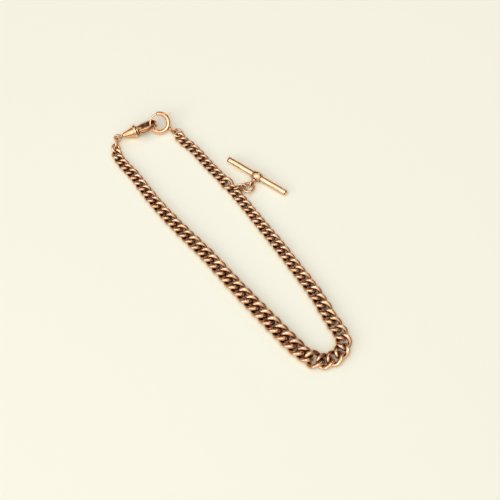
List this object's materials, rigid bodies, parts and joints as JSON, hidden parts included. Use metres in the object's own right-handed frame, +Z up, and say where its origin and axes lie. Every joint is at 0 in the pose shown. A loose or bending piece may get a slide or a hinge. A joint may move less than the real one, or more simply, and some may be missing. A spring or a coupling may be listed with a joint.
{
  "type": "pocket watch chain",
  "caption": "Graduated curb-link pocket watch chain in rose gold, with a swivel dog clip, a bolt ring and a T-bar on a short drop.",
  "frame": {"origin": "middle of the whole chain's box, on the surface that the chain lies on", "axes": "+X from the clasps towards the fold, +Y across the two strands towards the T-bar, +Z up"},
  "size_m": [0.1606, 0.057, 0.0081],
  "materials": {
    "link_gold": "polished rose gold, worn",
    "clasp_gold": "polished rose gold",
    "bar_gold": "polished yellow-rose gold",
    "spring_gold": "plain drawn wire"
  },
  "bodies": {
    "curb_links_35_36": {"curb_links_35_36": "link_gold"},
    "curb_links_33_34": {"curb_links_33_34": "link_gold"},
    "curb_links_37_38": {"curb_links_37_38": "link_gold"},
    "curb_links_31_32": {"curb_links_31_32": "link_gold"},
    "curb_links_39_40": {"curb_links_39_40": "link_gold"},
    "curb_links_29_30": {"curb_links_29_30": "link_gold"},
    "curb_links_41_42": {"curb_links_41_42": "link_gold"},
    "curb_links_27_28": {"curb_links_27_28": "link_gold"},
    "curb_links_43_44": {"curb_links_43_44": "link_gold"},
    "curb_links_25_26": {"curb_links_25_26": "link_gold"},
    "curb_links_45_46": {"curb_links_45_46": "link_gold"},
    "curb_links_23_24": {"curb_links_23_24": "link_gold"},
    "curb_links_47_48": {"curb_links_47_48": "link_gold"},
    "curb_links_21_22": {"curb_links_21_22": "link_gold"},
    "curb_links_49_50": {"curb_links_49_50": "link_gold"},
    "curb_links_19_20": {"curb_links_19_20": "link_gold"},
    "curb_links_51_52": {"curb_links_51_52": "link_gold"},
    "curb_links_17_18": {"curb_links_17_18": "link_gold"},
    "curb_links_53_54": {"curb_links_53_54": "link_gold"},
    "curb_links_15_16": {"curb_links_15_16": "link_gold"},
    "curb_links_55_56": {"curb_links_55_56": "link_gold"},
    "curb_links_13_14": {"curb_links_13_14": "link_gold"},
    "curb_links_57_58": {"curb_links_57_58": "link_gold"},
    "curb_links_11_12": {"curb_links_11_12": "link_gold"},
    "curb_links_59_60": {"curb_links_59_60": "link_gold"},
    "curb_links_09_10": {"curb_links_09_10": "link_gold"},
    "curb_links_61_62": {"curb_links_61_62": "link_gold"},
    "curb_links_07_08": {"curb_links_07_08": "link_gold"},
    "curb_links_63_64": {"curb_links_63_64": "link_gold"},
    "curb_links_05_06": {"curb_links_05_06": "link_gold"},
    "curb_links_65_66": {"curb_links_65_66": "link_gold"},
    "curb_links_03_04": {"curb_links_03_04": "link_gold"},
    "curb_links_67_68": {"curb_links_67_68": "link_gold"},
    "curb_links_01_02": {"curb_links_01_02": "link_gold"},
    "curb_links_69_70": {"curb_links_69_70": "link_gold"},
    "curb_links_71_72": {"curb_links_71_72": "link_gold"},
    "end_ring": {"end_ring": "clasp_gold"},
    "end_oval": {"end_oval": "clasp_gold"},
    "swivel_eye": {"swivel_eye": "clasp_gold"},
    "clip": {"clip_barrel": "clasp_gold", "clip_hook": "clasp_gold", "gate_pin": "clasp_gold", "gate_spring": "spring_gold"},
    "gate": {"clip_gate": "clasp_gold"},
    "end_jump_ring": {"end_jump_ring": "clasp_gold"},
    "bolt_ring": {"bolt_ring_eye": "clasp_gold", "bolt_ring_tube": "clasp_gold", "bolt_spring": "spring_gold"},
    "bolt": {"bolt": "clasp_gold"},
    "drop_ring": {"drop_ring": "bar_gold"},
    "drop_oval": {"drop_oval": "bar_gold"},
    "bar_ring": {"bar_ring": "bar_gold"},
    "t_bar": {"t_bar_cap_left": "bar_gold", "t_bar_cap_right": "bar_gold", "t_bar_collar": "bar_gold", "t_bar_tube": "bar_gold"}
  },
  "joints": [
    {"name": "links_33_34_lift", "type": "hinge", "parent": "curb_links_35_36", "child": "curb_links_33_34", "pos_m": [0.07393, -0.01471, 0.0023], "axis": [-0.0899, 0.996, 0], "range_deg": [-12, 8]},
    {"name": "links_31_32_lift", "type": "hinge", "parent": "curb_links_33_34", "child": "curb_links_31_32", "pos_m": [0.06491, -0.01849, 0.00239], "axis": [-0.0899, 0.996, 0], "range_deg": [-15, 15]},
    {"name": "links_29_30_lift", "type": "hinge", "parent": "curb_links_31_32", "child": "curb_links_29_30", "pos_m": [0.0548, -0.0198, 0.00233], "axis": [-0.0899, 0.996, 0], "range_deg": [-15, 15]},
    {"name": "links_27_28_lift", "type": "hinge", "parent": "curb_links_29_30", "child": "curb_links_27_28", "pos_m": [0.04482, -0.02045, 0.00227], "axis": [-0.0899, 0.996, 0], "range_deg": [-15, 15]},
    {"name": "links_25_26_bend", "type": "hinge", "parent": "curb_links_27_28", "child": "curb_links_25_26", "pos_m": [0.03506, -0.02118, 0.0022], "axis": [0, 0, 1], "range_deg": [-12, 12]},
    {"name": "links_23_24_bend", "type": "hinge", "parent": "curb_links_25_26", "child": "curb_links_23_24", "pos_m": [0.0255, -0.02183, 0.00214], "axis": [0, 0, 1], "range_deg": [-15.69, 15.69]},
    {"name": "links_21_22_bend", "type": "hinge", "parent": "curb_links_23_24", "child": "curb_links_21_22", "pos_m": [0.01615, -0.0223, 0.00208], "axis": [0, 0, 1], "range_deg": [-15.69, 15.69]},
    {"name": "links_19_20_bend", "type": "hinge", "parent": "curb_links_21_22", "child": "curb_links_19_20", "pos_m": [0.007, -0.02264, 0.00201], "axis": [0, 0, 1], "range_deg": [-15.69, 15.69]},
    {"name": "links_17_18_lift", "type": "hinge", "parent": "curb_links_19_20", "child": "curb_links_17_18", "pos_m": [-0.00192, -0.02313, 0.00195], "axis": [-0.0688, 0.9976, 0], "range_deg": [-12, 12]},
    {"name": "links_15_16_lift", "type": "hinge", "parent": "curb_links_17_18", "child": "curb_links_15_16", "pos_m": [-0.01061, -0.02397, 0.00189], "axis": [-0.0688, 0.9976, 0], "range_deg": [-15.76, 15.76]},
    {"name": "links_13_14_lift", "type": "hinge", "parent": "curb_links_15_16", "child": "curb_links_13_14", "pos_m": [-0.01908, -0.02481, 0.00183], "axis": [-0.0688, 0.9976, 0], "range_deg": [-15.76, 15.76]},
    {"name": "links_11_12_lift", "type": "hinge", "parent": "curb_links_13_14", "child": "curb_links_11_12", "pos_m": [-0.02737, -0.0254, 0.00177], "axis": [-0.0688, 0.9976, 0], "range_deg": [-15.76, 15.76]},
    {"name": "links_09_10_bend", "type": "hinge", "parent": "curb_links_11_12", "child": "curb_links_09_10", "pos_m": [-0.03545, -0.02568, 0.00171], "axis": [0, 0, 1], "range_deg": [-12, 12]},
    {"name": "links_07_08_bend", "type": "hinge", "parent": "curb_links_09_10", "child": "curb_links_07_08", "pos_m": [-0.04333, -0.02561, 0.00166], "axis": [0, 0, 1], "range_deg": [-15.88, 15.88]},
    {"name": "links_05_06_bend", "type": "hinge", "parent": "curb_links_07_08", "child": "curb_links_05_06", "pos_m": [-0.05099, -0.02527, 0.0016], "axis": [0, 0, 1], "range_deg": [-15.88, 15.88]},
    {"name": "links_03_04_bend", "type": "hinge", "parent": "curb_links_05_06", "child": "curb_links_03_04", "pos_m": [-0.05844, -0.02515, 0.00154], "axis": [0, 0, 1], "range_deg": [-15.88, 15.88]},
    {"name": "links_01_02_bend", "type": "hinge", "parent": "curb_links_03_04", "child": "curb_links_01_02", "pos_m": [-0.06566, -0.0256, 0.00148], "axis": [0, 0, 1], "range_deg": [-12, 12]},
    {"name": "end_ring_bend", "type": "hinge", "parent": "curb_links_01_02", "child": "end_ring", "pos_m": [-0.07246, -0.0242, 0.00148], "axis": [0, 0, 1], "range_deg": [-24.5, 24.5]},
    {"name": "end_oval_bend", "type": "hinge", "parent": "end_ring", "child": "end_oval", "pos_m": [-0.07475, -0.02249, 0.00193], "axis": [0, 0, 1], "range_deg": [-24.5, 24.5]},
    {"name": "swivel_eye_bend", "type": "hinge", "parent": "end_oval", "child": "swivel_eye", "pos_m": [-0.07827, -0.02011, 0.00184], "axis": [0, 0, 1], "range_deg": [-24.5, 24.5]},
    {"name": "links_37_38_lift", "type": "hinge", "parent": "curb_links_35_36", "child": "curb_links_37_38", "pos_m": [0.07674, -0.00582, 0.0021], "axis": [-0.38, -0.925, 0], "range_deg": [-12, 8]},
    {"name": "links_39_40_lift", "type": "hinge", "parent": "curb_links_37_38", "child": "curb_links_39_40", "pos_m": [0.07118, 0.00109, 0.00205], "axis": [-0.38, -0.925, 0], "range_deg": [-15, 15]},
    {"name": "links_41_42_lift", "type": "hinge", "parent": "curb_links_39_40", "child": "curb_links_41_42", "pos_m": [0.06201, 0.0021, 0.00204], "axis": [-0.38, -0.925, 0], "range_deg": [-15, 15]},
    {"name": "links_43_44_lift", "type": "hinge", "parent": "curb_links_41_42", "child": "curb_links_43_44", "pos_m": [0.05316, 0.00387, 0.00197], "axis": [-0.38, -0.925, 0], "range_deg": [-15, 15]},
    {"name": "links_45_46_bend", "type": "hinge", "parent": "curb_links_43_44", "child": "curb_links_45_46", "pos_m": [0.04447, 0.00505, 0.0019], "axis": [0, 0, 1], "range_deg": [-12, 12]},
    {"name": "links_47_48_bend", "type": "hinge", "parent": "curb_links_45_46", "child": "curb_links_47_48", "pos_m": [0.03594, 0.00562, 0.00184], "axis": [0, 0, 1], "range_deg": [-15.83, 15.83]},
    {"name": "links_49_50_bend", "type": "hinge", "parent": "curb_links_47_48", "child": "curb_links_49_50", "pos_m": [0.02765, 0.00619, 0.00177], "axis": [0, 0, 1], "range_deg": [-15.83, 15.83]},
    {"name": "links_51_52_bend", "type": "hinge", "parent": "curb_links_49_50", "child": "curb_links_51_52", "pos_m": [0.01957, 0.0067, 0.00171], "axis": [0, 0, 1], "range_deg": [-15.83, 15.83]},
    {"name": "links_53_54_lift", "type": "hinge", "parent": "curb_links_51_52", "child": "curb_links_53_54", "pos_m": [0.01169, 0.00704, 0.00166], "axis": [-0.0339, -0.9994, 0], "range_deg": [-12, 12]},
    {"name": "links_55_56_lift", "type": "hinge", "parent": "curb_links_53_54", "child": "curb_links_55_56", "pos_m": [0.00401, 0.00717, 0.00161], "axis": [-0.0339, -0.9994, 0], "range_deg": [-15.73, 15.73]},
    {"name": "links_57_58_lift", "type": "hinge", "parent": "curb_links_55_56", "child": "curb_links_57_58", "pos_m": [-0.00348, 0.00752, 0.00156], "axis": [-0.0339, -0.9994, 0], "range_deg": [-15.73, 15.73]},
    {"name": "links_59_60_lift", "type": "hinge", "parent": "curb_links_57_58", "child": "curb_links_59_60", "pos_m": [-0.0108, 0.0078, 0.00152], "axis": [-0.0339, -0.9994, 0], "range_deg": [-15.73, 15.73]},
    {"name": "links_61_62_bend", "type": "hinge", "parent": "curb_links_59_60", "child": "curb_links_61_62", "pos_m": [-0.01798, 0.0079, 0.00156], "axis": [0, 0, 1], "range_deg": [-12, 12]},
    {"name": "links_63_64_bend", "type": "hinge", "parent": "curb_links_61_62", "child": "curb_links_63_64", "pos_m": [-0.02626, 0.00778, 0.00147], "axis": [0, 0, 1], "range_deg": [-17.8, 17.8]},
    {"name": "links_65_66_bend", "type": "hinge", "parent": "curb_links_63_64", "child": "curb_links_65_66", "pos_m": [-0.03323, 0.00739, 0.00147], "axis": [0, 0, 1], "range_deg": [-17.8, 17.8]},
    {"name": "links_67_68_bend", "type": "hinge", "parent": "curb_links_65_66", "child": "curb_links_67_68", "pos_m": [-0.04019, 0.00695, 0.00147], "axis": [0, 0, 1], "range_deg": [-17.8, 17.8]},
    {"name": "links_69_70_lift", "type": "hinge", "parent": "curb_links_67_68", "child": "curb_links_69_70", "pos_m": [-0.04717, 0.00688, 0.00147], "axis": [0.0998, -0.995, 0], "range_deg": [-12, 7]},
    {"name": "links_71_72_lift", "type": "hinge", "parent": "curb_links_69_70", "child": "curb_links_71_72", "pos_m": [-0.05408, 0.00608, 0.00146], "axis": [0.0998, -0.995, 0], "range_deg": [-31.95, 31.95]},
    {"name": "end_jump_ring_lift", "type": "hinge", "parent": "curb_links_71_72", "child": "end_jump_ring", "pos_m": [-0.06086, 0.0055, 0.00146], "axis": [0.0998, -0.995, 0], "range_deg": [-31.95, 31.95]},
    {"name": "bolt_ring_lift", "type": "hinge", "parent": "end_jump_ring", "child": "bolt_ring", "pos_m": [-0.0641, 0.00515, 0.00156], "axis": [0.0998, -0.995, 0], "range_deg": [-31.95, 31.95]},
    {"name": "clip_swivel", "type": "hinge", "parent": "swivel_eye", "child": "clip", "pos_m": [-0.07816, -0.0192, 0.00198], "axis": [-0.3378, -0.9281, -0.1564], "range_deg": [-8, 12]},
    {"name": "gate_hinge", "type": "hinge", "parent": "clip", "child": "gate", "pos_m": [-0.07262, -0.00822, 0.0048], "axis": [-0.5298, 0.0501, 0.8466], "range_deg": [0, 12], "stiffness_Nm_per_rad": 0.0002, "deforming": ["gate_spring"]},
    {"name": "bolt_slide", "type": "hinge", "parent": "bolt_ring", "child": "bolt", "pos_m": [-0.07091, 0.0014, 0.00458], "axis": [0.4996, -0.221, 0.8376], "range_deg": [-50, 0], "stiffness_Nm_per_rad": 0.0002, "deforming": ["bolt_spring"]},
    {"name": "drop_ring_lift", "type": "hinge", "parent": "curb_links_61_62", "child": "drop_ring", "pos_m": [-0.02038, 0.01002, 0.00156], "axis": [-1, -0.0078, 0], "range_deg": [0, 25]},
    {"name": "drop_oval_lift", "type": "hinge", "parent": "drop_ring", "child": "drop_oval", "pos_m": [-0.01959, 0.01137, 0.00227], "axis": [-0.7511, 0.6602, 0], "range_deg": [0, 15]},
    {"name": "bar_ring_lift", "type": "hinge", "parent": "drop_oval", "child": "bar_ring", "pos_m": [-0.01759, 0.01333, 0.00182], "axis": [-0.7511, 0.6602, 0], "range_deg": [0, 22]},
    {"name": "t_bar_lift", "type": "hinge", "parent": "bar_ring", "child": "t_bar", "pos_m": [-0.01568, 0.01634, 0.00177], "axis": [-0.9623, -0.272, 0], "range_deg": [0, 24]}
  ],
  "couplings": [
    {"joint": "links_31_32_lift", "follows": "links_33_34_lift", "ratio": -1},
    {"joint": "links_29_30_lift", "follows": "links_33_34_lift", "ratio": -0.9323},
    {"joint": "links_27_28_lift", "follows": "links_33_34_lift", "ratio": 0.9323},
    {"joint": "links_23_24_bend", "follows": "links_25_26_bend", "ratio": -1},
    {"joint": "links_21_22_bend", "follows": "links_25_26_bend", "ratio": -1.0463},
    {"joint": "links_19_20_bend", "follows": "links_25_26_bend", "ratio": 1.0463},
    {"joint": "links_15_16_lift", "follows": "links_17_18_lift", "ratio": -1},
    {"joint": "links_13_14_lift", "follows": "links_17_18_lift", "ratio": -1.0507},
    {"joint": "links_11_12_lift", "follows": "links_17_18_lift", "ratio": 1.0507},
    {"joint": "links_07_08_bend", "follows": "links_09_10_bend", "ratio": -1},
    {"joint": "links_05_06_bend", "follows": "links_09_10_bend", "ratio": -1.0586},
    {"joint": "links_03_04_bend", "follows": "links_09_10_bend", "ratio": 1.0586},
    {"joint": "end_ring_bend", "follows": "links_01_02_bend", "ratio": -1},
    {"joint": "end_oval_bend", "follows": "links_01_02_bend", "ratio": -1.6332},
    {"joint": "swivel_eye_bend", "follows": "links_01_02_bend", "ratio": 1.6332},
    {"joint": "links_39_40_lift", "follows": "links_37_38_lift", "ratio": -1},
    {"joint": "links_41_42_lift", "follows": "links_37_38_lift", "ratio": -0.8771},
    {"joint": "links_43_44_lift", "follows": "links_37_38_lift", "ratio": 0.8771},
    {"joint": "links_47_48_bend", "follows": "links_45_46_bend", "ratio": -1},
    {"joint": "links_49_50_bend", "follows": "links_45_46_bend", "ratio": -1.0552},
    {"joint": "links_51_52_bend", "follows": "links_45_46_bend", "ratio": 1.0552},
    {"joint": "links_55_56_lift", "follows": "links_53_54_lift", "ratio": -1},
    {"joint": "links_57_58_lift", "follows": "links_53_54_lift", "ratio": -1.0489},
    {"joint": "links_59_60_lift", "follows": "links_53_54_lift", "ratio": 1.0489},
    {"joint": "links_63_64_bend", "follows": "links_61_62_bend", "ratio": -1},
    {"joint": "links_65_66_bend", "follows": "links_61_62_bend", "ratio": -1.1868},
    {"joint": "links_67_68_bend", "follows": "links_61_62_bend", "ratio": 1.1868},
    {"joint": "links_71_72_lift", "follows": "links_69_70_lift", "ratio": -1},
    {"joint": "end_jump_ring_lift", "follows": "links_69_70_lift", "ratio": -2.1301},
    {"joint": "bolt_ring_lift", "follows": "links_69_70_lift", "ratio": 2.1301}
  ]
}
